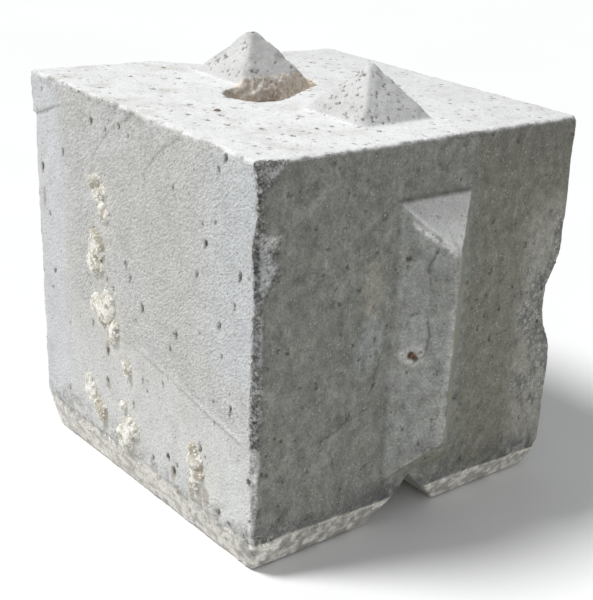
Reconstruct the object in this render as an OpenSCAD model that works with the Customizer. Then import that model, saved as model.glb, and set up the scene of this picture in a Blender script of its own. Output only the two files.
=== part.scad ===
// Precast interlocking concrete block, half size (750 mm class).
// The casting has two pyramid studs and a lifting pocket on top, a vertical
// wedge tongue on one end, the matching groove on the other end, and a V groove
// under the base. A bent steel loop is cast in for lifting. The loose or stuck
// pieces (earth in the pocket, mortar splashes, a stone, a form nail) are their
// own solids. Origin: centre of the footprint, on the ground. +X is the tongue.

/* [Block body] */
// Length along X, without the tongue
body_l = 750; // [600:5:900]
// Width along Y
body_w = 750; // [600:5:900]
// Height of the body, without the studs
body_h = 750; // [600:5:900]
// Height of the bevel round the foot of the block
bevel_h = 60; // [0:2:90]
// How far the bevel steps in at the ground
bevel_in = 22; // [0:1:40]

/* [Base groove] */
// Width of the V groove at the ground
groove_w = 180; // [120:2:240]
// Height of the V groove
groove_h = 94; // [60:2:120]

/* [End tongue] */
// Width of the tongue where it leaves the end face
tongue_w = 184; // [120:2:240]
// How far the ridge stands out of the end face
tongue_out = 78; // [40:1:110]
// Lower end of the tongue on the end face
tongue_foot = 100; // [70:2:200]
// Upper end of the tongue on the end face
tongue_head = 650; // [500:5:700]
// Lower end of the ridge line
ridge_foot = 194; // [120:2:260]
// Upper end of the ridge line
ridge_head = 558; // [450:2:640]

/* [End groove] */
// Width of the vertical groove at the far end face
slot_w = 192; // [130:2:250]
// Depth of the vertical groove
slot_d = 84; // [45:1:115]

/* [Studs] */
// Distance between the tips of the two studs
stud_pitch = 366; // [300:2:420]
// Side of a stud's square base
stud_base = 165; // [120:1:200]
// Height of a stud
stud_h = 94; // [60:1:120]
// Side of the small flat on a stud's tip
stud_tip = 14; // [4:1:40]

/* [Lifting pocket] */
// Radius of the rounded trough
pocket_r = 66; // [60:1:75]
// Depth of the trough below the top face
pocket_d = 92; // [80:1:110]
// Distance between the centres of its two round ends
pocket_run = 146; // [80:2:220]
// Turn of the trough from the Y direction, in degrees
pocket_turn = 30; // [0:1:45]
// Centre of the trough along X
pocket_x = -62; // [-70:1:-50]
// Centre of the trough along Y
pocket_y = -29; // [-40:1:-15]
// Where the trough's far side is cut off straight, at the stud's foot, along X
pocket_back = -106; // [-112:1:-104]
// Depth of the earth lying in the pocket
fill_d = 13; // [5:1:20]

/* [Lifting loop] */
// Centre of the loop along X
loop_x = -50; // [-60:1:-45]
// Centre of the loop along Y
loop_y = -20; // [-30:1:-10]
// Radius of the steel bar
bar_r = 8; // [6:0.5:12]
// Radius of the crown, to the bar's centre line
crown_r = 40; // [30:1:60]
// How far the crown's top lies below the top face
crown_sink = 22; // [10:1:40]
// Depth of the loop's feet below the top face
foot_depth = 400; // [250:10:550]
// Bend radius between a leg and its foot
bend_r = 40; // [25:1:60]
// Straight length of each foot
foot_run = 80; // [40:5:150]

/* [Broken edge] */
// Depth of the broken patch on the far tongue-end edge
chip_d = 28; // [10:1:60]

/* [Small pieces] */
// Radius of the form nail left in the tongue
nail_r = 2.5; // [1.5:0.5:4]
// Length of the form nail
nail_l = 60; // [30:5:90]
// Radius of the stone pressed into the top face
stone_r = 9; // [5:0.5:15]

/* [Hidden] */
$fn = 64;
over = 5;
hl = body_l / 2;
hw = body_w / 2;
// height of the trough's axis, and the top of the earth in it
pocket_z = body_h - pocket_d + pocket_r;
fill_z = body_h - pocket_d + fill_d;
// height of the crown's centre and of the feet's centre line
crown_z = body_h - crown_sink - bar_r - crown_r;
foot_z = body_h - foot_depth;
// the tongue's flank: angle of its outward normal from +X, towards -Y
flank_turn = atan2(tongue_out, tongue_w / 2);
nail_out = 0.45;
nail_x = hl + tongue_out * nail_out;
nail_y = -tongue_w / 2 * (1 - nail_out);
nail_z = 365;
spall_r = 11;
spall_up = 4;
stone_x = 58;
stone_y = -236;
stone_z = body_h - 2;
// mortar splashes: [x, z, radius, height] of each blob
splash_list = [
  [[-150, 594, 16, 8], [-132, 602, 18, 9], [-128, 575, 18, 10], [-112, 585, 16, 8]],
  [[-110, 553, 15, 8], [-104, 540, 16, 9], [-117, 541, 12, 7]],
  [[-138, 478, 26, 13], [-140, 460, 24, 14], [-125, 470, 20, 12], [-146, 492, 14, 8]],
  [[-150, 436, 24, 12], [-132, 434, 20, 12], [-146, 421, 12, 7]],
  [[-112, 350, 32, 14], [-140, 350, 24, 10], [-90, 366, 20, 10], [-118, 328, 20, 9],
   [-104, 380, 12, 7]],
  [[-80, 310, 22, 12], [-72, 326, 14, 8], [-85, 293, 12, 7]],
  [[-172, 158, 20, 9], [-178, 176, 12, 6], [-158, 146, 16, 8]],
  [[-130, 124, 20, 10], [-143, 134, 14, 7], [-126, 110, 12, 7]],
  [[-30, 258, 14, 7], [-28, 244, 12, 7], [-40, 262, 9, 5]],
  [[-30, 118, 26, 11], [-8, 128, 18, 8], [-22, 142, 14, 7], [-38, 94, 20, 9],
   [-50, 110, 16, 8]],
  [[204, 155, 24, 10], [196, 180, 14, 7], [215, 134, 18, 9], [200, 112, 16, 7]],
  [[-46, 166, 12, 6]]];

// Side outline of the body: a rectangle with bevelled lower corners.
function side_outline(half, notch_w, notch_h) = [
  [-half, bevel_h], [-half + bevel_in, 0],
  [-notch_w / 2, 0], [0, notch_h], [notch_w / 2, 0],
  [half - bevel_in, 0], [half, bevel_h], [half, body_h], [-half, body_h]];

// A profile drawn as [y, z], extruded along X from x0 to x1.
module along_x(points, x0, x1) {
  translate([x0, 0, 0])
    rotate([90, 0, 90])
      linear_extrude(height = x1 - x0)
        polygon(points);
}

// A profile drawn as [x, z], extruded along Y from y0 to y1.
module along_y(points, y0, y1) {
  translate([0, y1, 0])
    rotate([90, 0, 0])
      linear_extrude(height = y1 - y0)
        polygon(points);
}

module plain_body() {
  intersection() {
    along_x(side_outline(hw, groove_w, groove_h), -hl, hl);
    along_y([[-hl, bevel_h], [-hl + bevel_in, 0], [hl - bevel_in, 0],
             [hl, bevel_h], [hl, body_h], [-hl, body_h]], -hw - over, hw + over);
  }
}

// Wedge tongue with sloping ends. It runs back into the body to join it.
module tongue() {
  slope_up = (tongue_head - ridge_head) / tongue_out;
  slope_dn = (ridge_foot - tongue_foot) / tongue_out;
  back = 10;
  side = tongue_w / 2 / tongue_out;
  intersection() {
    translate([0, 0, tongue_foot - 40])
      linear_extrude(height = tongue_head - tongue_foot + 80)
        polygon([[hl - back, -tongue_w / 2], [hl, -tongue_w / 2], [hl + tongue_out, 0],
                 [hl, tongue_w / 2], [hl - back, tongue_w / 2]]);
    along_y([[hl - back, tongue_foot], [hl, tongue_foot], [hl + tongue_out, ridge_foot],
             [hl + tongue_out, ridge_head], [hl, tongue_head], [hl - back, tongue_head]],
            -tongue_w, tongue_w);
  }
}

// Vertical groove in the far end, open at the top and at the ground.
module end_slot() {
  grow = over * slot_w / 2 / slot_d;
  translate([0, 0, -over])
    linear_extrude(height = body_h + 2 * over)
      polygon([[-hl - over, -slot_w / 2 - grow], [-hl + slot_d, 0],
               [-hl - over, slot_w / 2 + grow]]);
}

// Square pyramid with a small flat tip, sunk a little into the body.
module stud(x) {
  sink = 10;
  half = stud_base / 2;
  tip = stud_tip / 2;
  outline = [[-half, -sink], [half, -sink], [half, 0], [tip, stud_h], [-tip, stud_h],
             [-half, 0]];
  translate([x, 0, body_h])
    intersection() {
      along_x(outline, -half, half);
      along_y(outline, -half, half);
    }
}

// Round-ended trough with one flat side, as a solid.
module pocket_shape() {
  reach = pocket_run / 2 + pocket_r + over;
  intersection() {
    translate([pocket_x, pocket_y, pocket_z])
      rotate([0, 0, pocket_turn])
        union() {
          rotate([90, 0, 0])
            cylinder(r = pocket_r, h = pocket_run, center = true);
          for (s = [-1, 1])
            translate([0, s * pocket_run / 2, 0])
              sphere(r = pocket_r);
        }
    translate([pocket_back, pocket_y - reach, pocket_z - reach])
      cube([2 * reach, 2 * reach, 2 * reach]);
  }
}

module loop_shape() {
  translate([loop_x, loop_y, 0])
    union() {
      translate([0, 0, crown_z])
        rotate([90, 0, 90])
          rotate_extrude(angle = 180)
            translate([crown_r, 0])
              circle(r = bar_r);
      for (s = [0, 1])
        mirror([0, s, 0]) {
          translate([0, crown_r, foot_z + bend_r])
            cylinder(r = bar_r, h = crown_z - foot_z - bend_r);
          translate([0, crown_r + bend_r, foot_z + bend_r])
            rotate([0, 0, 90])
              rotate([90, 0, 0])
                rotate([0, 0, 180])
                  rotate_extrude(angle = 90)
                    translate([bend_r, 0])
                      circle(r = bar_r);
          translate([0, crown_r + bend_r, foot_z])
            rotate([-90, 0, 0])
              cylinder(r = bar_r, h = foot_run);
        }
    }
}

// Broken patch on the edge between the tongue end and the +Y side.
module edge_chip() {
  translate([hl, hw, 0])
    rotate([0, 0, 45])
      along_y([[over, 500], [-2, 474], [-chip_d * 0.5, 430], [-chip_d, 405],
               [-chip_d, 350], [-chip_d * 0.7, 312], [-2, 266], [over, 250]],
              -90, 90);
}

module nail_shape() {
  translate([nail_x, nail_y, nail_z])
    rotate([0, 0, -flank_turn])
      rotate([0, -90 - 35, 0])
        translate([0, 0, 3])
          cylinder(r = nail_r, h = nail_l, $fn = 24);
}

// Small spalled hole in the tongue's flank, round the nail's end.
module spall() {
  translate([nail_x, nail_y, nail_z])
    rotate([0, 0, -flank_turn])
      translate([spall_up, 0, 0])
        sphere(r = spall_r, $fn = 32);
}

module stone_shape() {
  translate([stone_x, stone_y, stone_z])
    sphere(r = stone_r, $fn = 32);
}

module concrete_block() {
  color([0.66, 0.67, 0.65])
    difference() {
      union() {
        difference() {
          plain_body();
          end_slot();
        }
        tongue();
        stud(stud_pitch / 2);
        stud(-stud_pitch / 2);
      }
      pocket_shape();
      loop_shape();
      edge_chip();
      spall();
      nail_shape();
      stone_shape();
    }
}

module lifting_loop() {
  color([0.36, 0.24, 0.17])
    loop_shape();
}

// Earth and grit lying in the bottom of the pocket, round the loop's legs.
module pocket_fill() {
  color([0.42, 0.34, 0.27])
    difference() {
      intersection() {
        pocket_shape();
        translate([pocket_x - 200, pocket_y - 200, fill_z - 200])
          cube([400, 400, 200]);
      }
      loop_shape();
    }
}

module form_nail() {
  color([0.33, 0.17, 0.10])
    difference() {
      nail_shape();
      spall_trim();
    }
}

// The nail's outer end is cut back level inside the spalled hole.
module spall_trim() {
  translate([nail_x, nail_y, nail_z])
    rotate([0, 0, -flank_turn])
      translate([-1, -20, -20])
        cube([40, 40, 40]);
}

module top_stone() {
  color([0.44, 0.38, 0.34])
    stone_shape();
}

// One mortar splash: low round blobs that merge, flat against the -Y side.
module splash(n) {
  color([0.80, 0.78, 0.69])
    intersection() {
      union() {
        for (b = splash_list[n - 1]) {
          ball = (b[2] * b[2] + b[3] * b[3]) / (2 * b[3]);
          translate([b[0], -hw + ball - b[3], b[1]])
            sphere(r = ball, $fn = 48);
        }
      }
      translate([-hl, -hw - 40, 0])
        cube([body_l, 40, body_h]);
    }
}

concrete_block();
lifting_loop();
pocket_fill();
form_nail();
top_stone();
splash(1);  // splash_1
splash(2);  // splash_2
splash(3);  // splash_3
splash(4);  // splash_4
splash(5);  // splash_5
splash(6);  // splash_6
splash(7);  // splash_7
splash(8);  // splash_8
splash(9);  // splash_9
splash(10);  // splash_10
splash(11);  // splash_11
splash(12);  // splash_12
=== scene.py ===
"""Looks of the interlocking concrete block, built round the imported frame.

The casting is a field of signed distances on a fine grid, in millimetres: true
planes first, then cast irregularities, broken edges, trowel relief and bug
holes. The field is turned into one closed mesh of quads. Loose and stuck
pieces are built the same way or swept, each on its own.
"""
import bpy
import itertools
import math
import numpy as np
from mathutils import Matrix, Vector


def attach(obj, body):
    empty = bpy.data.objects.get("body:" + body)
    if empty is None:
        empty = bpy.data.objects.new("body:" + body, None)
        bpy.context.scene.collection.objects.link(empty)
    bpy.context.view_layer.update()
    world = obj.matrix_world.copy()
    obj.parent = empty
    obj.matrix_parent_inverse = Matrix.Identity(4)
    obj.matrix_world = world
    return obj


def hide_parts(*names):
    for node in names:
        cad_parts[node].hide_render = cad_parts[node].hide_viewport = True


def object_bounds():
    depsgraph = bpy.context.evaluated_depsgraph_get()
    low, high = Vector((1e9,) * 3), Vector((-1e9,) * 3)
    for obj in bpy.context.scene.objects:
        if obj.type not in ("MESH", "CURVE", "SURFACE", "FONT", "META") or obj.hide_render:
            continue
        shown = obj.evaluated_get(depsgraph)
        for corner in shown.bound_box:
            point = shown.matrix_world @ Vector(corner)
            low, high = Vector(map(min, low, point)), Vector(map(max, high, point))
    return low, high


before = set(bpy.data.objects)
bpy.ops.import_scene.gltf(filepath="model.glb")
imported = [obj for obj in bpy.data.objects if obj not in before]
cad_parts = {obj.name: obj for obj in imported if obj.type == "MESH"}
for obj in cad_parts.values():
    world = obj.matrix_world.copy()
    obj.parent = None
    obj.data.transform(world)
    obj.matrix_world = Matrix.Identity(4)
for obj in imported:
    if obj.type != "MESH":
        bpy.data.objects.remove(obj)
cad_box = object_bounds()
MM = 0.001

# ---------------------------------------------------------------- noise
CELLS = 64      # cells of the repeating lattice along each axis
_rng = np.random.default_rng(11)
_LATTICE = _rng.random(CELLS ** 3, dtype=np.float32) * 2 - 1
_JITTER = _rng.random((4, CELLS ** 3), dtype=np.float32)


def vec(*c):
    """A point, a scale or a linear colour."""
    return np.array(c, np.float32)


def noise(p, size, seed=0):
    """Smooth value noise, -1 to 1, at points p, with cells of this size."""
    q = p / np.asarray(size, np.float32)
    q = q + vec(17.31, 5.93, 11.17) * seed
    i = np.floor(q).astype(np.int32)
    f = (q - i).astype(np.float32)
    f = f * f * (3 - 2 * f)
    i &= CELLS - 1
    j = (i + 1) & (CELLS - 1)
    x0, x1 = i[:, 0] * CELLS ** 2, j[:, 0] * CELLS ** 2
    y0, y1 = i[:, 1] * CELLS, j[:, 1] * CELLS
    z0, z1 = i[:, 2], j[:, 2]
    fx, fy, fz = f[:, 0], f[:, 1], f[:, 2]
    out = np.zeros(len(p), np.float32)
    for xs, wx in ((x0, 1 - fx), (x1, fx)):
        for ys, wy in ((y0, 1 - fy), (y1, fy)):
            w = wx * wy
            out += _LATTICE[xs + ys + z0] * (w * (1 - fz))
            out += _LATTICE[xs + ys + z1] * (w * fz)
    return out


def fbm(p, size, octaves=3, seed=0, fall=0.5):
    """A sum of noises, each half the size and weaker than the one before."""
    out = np.zeros(len(p), np.float32)
    weight, total = 1.0, 0.0
    size = np.asarray(size, np.float32)
    for k in range(octaves):
        out += noise(p, size, seed + 3.7 * k) * weight
        total += weight
        weight *= fall
        size = size / 2
    return out / total


def cells(p, size, seed=0):
    """Distance to the nearest of a set of scattered points, and that point's
    random tone from 0 to 1."""
    q = p / np.float32(size) + np.float32(seed * 7.77)
    base = np.floor(q).astype(np.int32)
    best = np.full(len(p), 9, np.float32)
    tone = np.zeros(len(p), np.float32)
    for shift in itertools.product((-1, 0, 1), repeat=3):
        c = base + np.array(shift, np.int32)
        k = c & (CELLS - 1)
        k = (k[:, 0] * CELLS + k[:, 1]) * CELLS + k[:, 2]
        d = np.zeros(len(p), np.float32)
        for a in range(3):
            d += (c[:, a] + _JITTER[a][k] - q[:, a]) ** 2
        near = d < best
        best[near] = d[near]
        tone[near] = _JITTER[3][k][near]
    return np.sqrt(best) * size, tone


def step(lo, hi, x):
    """Smooth step from 0 at lo to 1 at hi."""
    t = np.clip((x - lo) / (hi - lo), 0, 1)
    return t * t * (3 - 2 * t)


def smax(a, b, k):
    """Larger of two distances, with the corner between them rounded off."""
    h = np.maximum(k - np.abs(a - b), 0) / k
    return np.maximum(a, b) + h * h * k * 0.25


def smin(a, b, k):
    return -smax(-a, -b, k)


# ---------------------------------------------------------------- sizes, mm
HALF = 375.0
HEIGHT = 750.0
BEVEL_IN = 22.0
STUD_PITCH = 366.0
STUD_BASE = 165.0
STUD_H = 94.0
STUD_AT = (STUD_PITCH / 2 + 3, -STUD_PITCH / 2 + 11)
STUD_Y = 10
TONGUE_W = 184.0
TONGUE_OUT = 78.0
TONGUE_FOOT, TONGUE_HEAD = 100, 650
HEEL_RUN, HEAD_RUN = 94, 92
GROOVE_W = 180.0
GROOVE_H = 94.0
SLOT_W = 192.0
SLOT_D = 84.0
POCKET = vec(-62.0, -29.0, 724.0)
POCKET_R = 66.0
POCKET_RUN = 73.0
POCKET_BACK = -99.0
POCKET_TURN = math.radians(30)
FILL_Z = 671.0
# How far each corner of the cast block is from the true square, as
# (x, y, z) at the top and (x, y, bevel height) at the foot.
TOP_OFF = {(-1, -1): (0, -9, 21), (1, -1): (3, -3, 5),
           (1, 1): (3, 0, -4), (-1, 1): (0, 0, 1)}
FOOT_OFF = {(-1, -1): (8, 0, 69), (1, -1): (11, -2, 64),
            (1, 1): (-1, -6, 46), (-1, 1): (2, -2, 60)}
SKIN = 2.0      # the least that relief takes off the cast planes


def corner_blend(table, u, v):
    """Blends the four corners' values over the footprint, u and v in 0..1."""
    corners = table[(-1, -1)], table[(1, -1)], table[(1, 1)], table[(-1, 1)]
    return [a * (1 - u) * (1 - v) + b * u * (1 - v) + c * u * v + d * (1 - u) * v
            for a, b, c, d in zip(*corners)]


def true_place(p):
    """Moves points back to where they would be in a perfectly square block."""
    u = np.clip((p[:, 0] + HALF) / (2 * HALF), 0, 1)
    v = np.clip((p[:, 1] + HALF) / (2 * HALF), 0, 1)
    w = np.clip(p[:, 2] / HEIGHT, 0, 1)
    tx, ty, tz = corner_blend(TOP_OFF, u, v)
    fx, fy, bevel = corner_blend(FOOT_OFF, u, v)
    q = p.copy()
    q[:, 0] -= fx * (1 - w) + tx * w
    q[:, 1] -= fy * (1 - w) + ty * w
    q[:, 2] -= tz * w
    return q, bevel


def edge_chip_depth(z):
    """Depth of the big broken patch on the far tongue-end edge."""
    return np.interp(z, [246, 262, 290, 313, 336, 359, 382, 405, 428, 451, 474, 495],
                     [-6, 2, 9, 19, 24, 26, 25, 26, 15, 8, 2, -6])


def above_ledge(x, z):
    """Height above the sloping lip of an old mould joint, high on the -Y side."""
    return z - (664 + (x + HALF) * 0.37)


def lap_height(x):
    """Height of the long trowel lap across the -Y side."""
    return 318 - 0.155 * (x + 101)


def dark_foot(x):
    """1 on the flatter bevel under the tongue end, 0 elsewhere."""
    return step(HALF - 40, HALF - 24, x)


def bell(distance, width):
    """1 on a line, falling off smoothly on both sides of it."""
    return np.exp(-(distance / width) ** 2)


# The arris by the camera: height, how far the break reaches along X, along Y.
WORN = [(60, 3, 10), (100, 5, 10), (150, 9, 12), (200, 12, 14), (260, 11, 15), (345, 12, 18),
        (400, 11, 19), (470, 10, 17), (515, 8, 14), (540, 9, 30), (575, 13, 48), (600, 15, 52),
        (618, 17, 50), (630, 12, 44), (640, 5, 9), (671, 3, 7), (694, 3, 9), (712, 5, 22),
        (726, 8, 42), (742, 13, 66), (765, 20, 95)]

# Smaller breaks: centre, radius of the ball that bites, in mm.
BITES = [(-378, -392, 586, 12), (-378, -396, 735, 12), (374, -372, -8, 20), (340, -388, -4, 22),
         (386, -100, 764, 13), (387, -200, 766, 14), (390, -290, 768, 17), (388, 60, 764, 12),
         (386, 250, 762, 14), (384, 372, 750, 15), (-300, -388, 778, 13), (-232, -390, 776, 15),
         (-176, -392, 773, 17), (-120, -391, 770, 15), (-60, -390, 768, 18), (0, -389, 766, 15),
         (60, -389, 765, 16), (130, -389, 764, 17), (205, -388, 763, 15), (268, -388, 762, 17),
         (330, -388, 760, 15), (-386, -386, 300, 15), (-380, 380, 400, 20), (-384, 384, 180, 18),
         (-386, 200, 762, 16), (150, 386, 762, 18), (384, 384, 560, 10), (384, 386, 160, 12),
         (380, 382, 46, 26)]


def pocket_distance(p):
    """Signed distance to the round-ended trough that the pocket was cast with."""
    d = p - POCKET
    c, s = math.cos(POCKET_TURN), math.sin(POCKET_TURN)
    across = d[:, 0] * c + d[:, 1] * s
    along = np.maximum(np.abs(-d[:, 0] * s + d[:, 1] * c) - POCKET_RUN, 0)
    return np.sqrt(across ** 2 + along ** 2 + d[:, 2] ** 2) - POCKET_R


def tongue_planes(x, across, z):
    """Distances to the tongue's nearer flank, its upper end and its lower end."""
    out, half = x - HALF, TONGUE_W / 2
    flank = (out * half + across * TONGUE_OUT - half * TONGUE_OUT) / math.hypot(half, TONGUE_OUT)
    head = (out * HEAD_RUN + (z - TONGUE_HEAD) * TONGUE_OUT) / math.hypot(HEAD_RUN, TONGUE_OUT)
    heel = (out * HEEL_RUN - (z - TONGUE_FOOT) * TONGUE_OUT) / math.hypot(HEEL_RUN, TONGUE_OUT)
    return flank, head, heel


def casting(p):
    """Signed distance to the casting before relief, with the nearness of its
    edges, and how far broken surfaces show there."""
    q, bevel = true_place(p)
    x, y, z = q[:, 0], q[:, 1], q[:, 2]
    ax, ay = np.abs(x) - HALF, np.abs(y) - HALF
    # a thicker corner above the lip of an old mould joint
    proud = step(-1, 2, above_ledge(x, z)) * step(-262, -288, x) * (y < -200)
    ay = ay - 3.5 * proud * step(-262, -330, x)
    flat_foot = dark_foot(x)
    bevel = bevel + 3 * noise(p, 55, 31) + (1.5 - 1.2 * flat_foot) * noise(p, 16, 32)
    slope = np.hypot(bevel, BEVEL_IN)
    lip = (z - bevel) * BEVEL_IN
    bx = (ax * bevel - lip) / slope
    by = (ay * bevel - lip * np.where(y < 0, 0.68, 1.0)) / slope
    kv = 6 + 3 * noise(p, 70, 33)
    side = smax(ax, ay, kv)
    foot = smax(bx, by, kv)
    top = z - HEIGHT
    edge = np.sort(np.stack([ax, ay, top, np.maximum(bx, by)]), axis=0)[2]
    f = smax(smax(side, top, 5.0), foot, 5.0)
    f = np.maximum(f, -p[:, 2] + 0.2)

    # crumbled arrises
    wear = np.clip((edge + 15) / 15, 0, 1) ** 1.6
    wear *= 1 - 0.75 * flat_foot * step(10, -4, z - bevel)
    near = edge > -16
    pn = p[near]
    crumb = np.maximum(fbm(pn, 20, 3, 41) + 0.12, 0) * 9 + np.abs(noise(pn, 5, 42)) * 1.6
    f[near] += wear[near] * crumb * 0.55

    # the arris by the camera, broken back to the stones
    worn = np.full(len(p), -99, np.float32)
    nw = (x > 250) & (y < -250)
    pn = p[nw]
    zz = pn[:, 2] + 7 * noise(pn, 26, 35)
    h, along_x, along_y = (np.array(c, np.float32) for c in zip(*WORN))
    cx = np.interp(zz, h, along_x) + 2.5 * noise(pn, 22, 36) + SKIN
    cy = np.interp(zz, h, along_y) * (1 + 0.25 * noise(pn, 30, 37)) + SKIN
    flat = (1 + ax[nw] / cx + ay[nw] / cy) * cx * cy / np.hypot(cx, cy)
    lump, _ = cells(pn, 7, 9)
    flat += fbm(pn, 15, 2, 38) * 2.2 + 1.2 - np.minimum(lump, 5) * 0.35
    worn[nw] = flat
    f[nw] = smax(f[nw], flat, 1.5)

    # tongue
    ty = np.abs(y - 9 - 4 * step(250, 560, z))
    flank, head, heel = tongue_planes(x, ty, z)
    tongue = smax(smax(smax(flank, head, 3), heel, 4), 350 - x, 1)
    nr = (tongue > -18) & (x > HALF + 30)
    pn = p[nr]
    ridge_wear = np.clip(1 - ty[nr] / 11, 0, 1)
    head_wear = np.clip(1 + (np.minimum(flank, head)[nr]) / 9, 0, 1)
    tongue[nr] += np.maximum(ridge_wear, head_wear * 0.6) * (
        np.maximum(fbm(pn, 16, 3, 44) + 0.1, 0) * 6 + np.abs(noise(pn, 5, 45)) * 1.5)
    f = smin(f, tongue, 2)

    # studs
    run = STUD_BASE / 2 - 3
    for cx in STUD_AT:
        sx, sy = ((d * STUD_H + (z - HEIGHT) * run - (STUD_BASE / 2) * STUD_H)
                  / math.hypot(STUD_H, run) for d in (np.abs(x - cx), np.abs(y - STUD_Y)))
        stud = smax(smax(sx, sy, 6), z - HEIGHT - STUD_H - 4, 7)
        stud = np.maximum(stud, HEIGHT - 12 - z)
        ns = stud < 12
        pn = p[ns]
        arris = np.clip(1 - np.abs(sx - sy)[ns] / 14, 0, 1)
        stud[ns] += arris * np.maximum(fbm(pn, 18, 3, 47), 0) * 6 + fbm(pn, 30, 3, 48) * 2.2 - 2.0
        f = smin(f, stud, 6)

    # grooves
    for depth, wide, deep, k in ((z, GROOVE_W, GROOVE_H, 3), (x + HALF, SLOT_W, SLOT_D, 4)):
        v = (depth * (wide / 2) + np.abs(y) * deep - deep * wide / 2) / math.hypot(wide / 2, deep)
        f = smax(f, -v, k)

    # lifting pocket, with rough lumpy walls; its far side is cut off straight
    trough = pocket_distance(p)
    back = POCKET_BACK + 7 - 7 * step(30, 70, y) + 0.45 * np.clip(758 - z, 0, 62)
    trough = np.maximum(trough, back - p[:, 0])
    npk = np.abs(trough) < 14
    pn = p[npk]
    lump, _ = cells(pn, 13, 3)
    trough[npk] += 3.0 - np.minimum(lump, 9) * 0.6 + fbm(pn, 28, 2, 51) * 4
    f = smax(f, -trough, 2)
    rough = step(9, 2, trough) * 0.25
    rough = np.maximum(rough, step(-3.0, -0.5, worn))

    # the big broken edge
    z0 = p[:, 2] + 5 * noise(p, 30, 52)
    cut = ((p[:, 0] - HALF) * 1.1 + (p[:, 1] - HALF) * 0.9) / 1.42 + edge_chip_depth(z0) + SKIN
    nc = (cut > -16) & (p[:, 0] > 250) & (p[:, 1] > 250)
    pn = p[nc]
    lump, _ = cells(pn, 8, 8)
    cut[nc] += fbm(pn, 26, 3, 53) * 4 + 1.2 - np.minimum(lump, 6) * 0.4
    cut[(p[:, 0] < 250) | (p[:, 1] < 250)] = -99
    f = smax(f, cut, 2)
    rough = np.maximum(rough, step(-3.5, -0.5, cut))

    # the pitted zone beside it on the tongue end
    zone = np.hypot((p[:, 1] - HALF) / 112, (p[:, 2] - 350) / 195) + 0.35 * noise(p, 40, 57)
    zone = step(1.05, 0.75, zone + 0.3 * noise(p, 14, 58)) * (p[:, 0] > 345) * (p[:, 1] > 200)
    rough = np.maximum(rough, zone * 0.65)

    # bites out of the arrises
    for *centre, r in BITES:
        c = vec(*centre)
        m = np.all(np.abs(p - c) < r + 8, axis=1)
        if not m.any():
            continue
        pn = p[m]
        ball = np.sqrt(((pn - c) ** 2).sum(1)) - r + fbm(pn, 14, 2, 55) * 5
        f[m] = smax(f[m], -ball, 2)
        rough[m] = np.maximum(rough[m], 0.4 * step(3, 0.5, ball))

    # small spalled hole in the tongue's flank
    hole = p - vec(416, -53, 367)
    hole = np.sqrt((hole[:, 0] / 0.9) ** 2 + hole[:, 1] ** 2 + (hole[:, 2] / 1.7) ** 2) - 8.5
    return smax(f, -hole, 1), edge, rough


def relief(p):
    """Cast and trowelled unevenness, in mm. It only ever takes away."""
    q, bevel = true_place(p)
    x, y, z = q[:, 0], q[:, 1], q[:, 2]
    out = SKIN + 0.7 * fbm(p, 150, 2, 61) + 0.3 * fbm(p, 34, 3, 62)
    top = (z > HEIGHT - 12)
    left = (y < -HALF + 12) & ~top & (z > bevel)
    foot = (z < bevel + 2)
    # trowelled, pebbly skin on the upper part of the -Y side
    pn, xn, zn = p[left], x[left], z[left]
    lap = zn - (lap_height(xn) + 6 * np.sin(xn / 60))
    upper = 0.35 + 0.65 * step(-6, 14, lap) * step(-290, -200, xn)
    t = np.stack([pn[:, 0] * 0.85 + pn[:, 2] * 0.5, pn[:, 1],
                  pn[:, 2] * 0.85 - pn[:, 0] * 0.5], 1)
    pebble = noise(t, (17, 14, 9), 63) * 0.5 + noise(t, (9, 9, 6.5), 64) * 0.7
    a = out[left]
    a += upper * pebble * (1.15 + 0.4 * noise(pn, 90, 65))
    # trowel laps: long low steps, and two arcs
    a -= 1.7 * bell(lap, 4.5) * step(-110, -60, xn) * step(330, 290, xn)
    a -= 0.8 * step(-4, 6, lap) * step(-110, -60, xn)
    arc = np.hypot(xn - 60, zn - 560) - 205
    a += 1.5 * bell(arc, 3.2) * step(10, -20, xn) * step(640, 690, zn)
    arc = np.hypot(xn - 210, zn - 500) - 260
    a += 1.0 * bell(arc, 3) * step(130, 90, xn) * step(560, 640, zn)
    # the proud strip at the far top corner
    a -= 1.8 * step(-2, 1, above_ledge(xn, zn)) * step(-262, -275, xn)
    out[left] = a
    pn = p[foot]
    smooth = 1 - 0.7 * step(HALF - 40, HALF - 20, x[foot])
    out[foot] += 1.0 + smooth * (1.3 * fbm(pn, (26, 26, 9), 3, 66) + 0.5 * noise(pn, 6, 67))
    right = (x > HALF - 8) & ~top & ~foot
    pn, yn, zn = p[right], y[right], z[right]
    a = out[right]
    # faint joints of the mould insert, above and below the tongue
    for y0 in (-87, 97):
        a += 0.9 * bell(yn - y0, 3) * np.clip((np.abs(zn - HEIGHT / 2) - 270) / 20, 0, 1)
    a += 0.45 * fbm(pn, 14, 3, 68) + 0.4 * fbm(pn, 60, 2, 71)
    out[right] = a
    pn = p[top]
    out[top] += 0.8 * fbm(pn, 60, 3, 69) + 0.5 * noise(pn, 9, 70) - 0.6
    # crumbled line where the bevel starts
    line = np.abs(z - bevel - 3)
    band = (line < 22) & (p[:, 2] < 110)
    crumbly = (2.6 - 2.0 * dark_foot(x[band])) * bell(line[band], 9)
    out[band] += crumbly * np.maximum(fbm(p[band], 16, 2, 72) + 0.25, 0)
    return np.maximum(out, 0.15)


# ---------------------------------------------------------------- meshing
OTHERS = ((1, 2), (0, 2), (0, 1))    # the two axes across each axis


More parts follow.
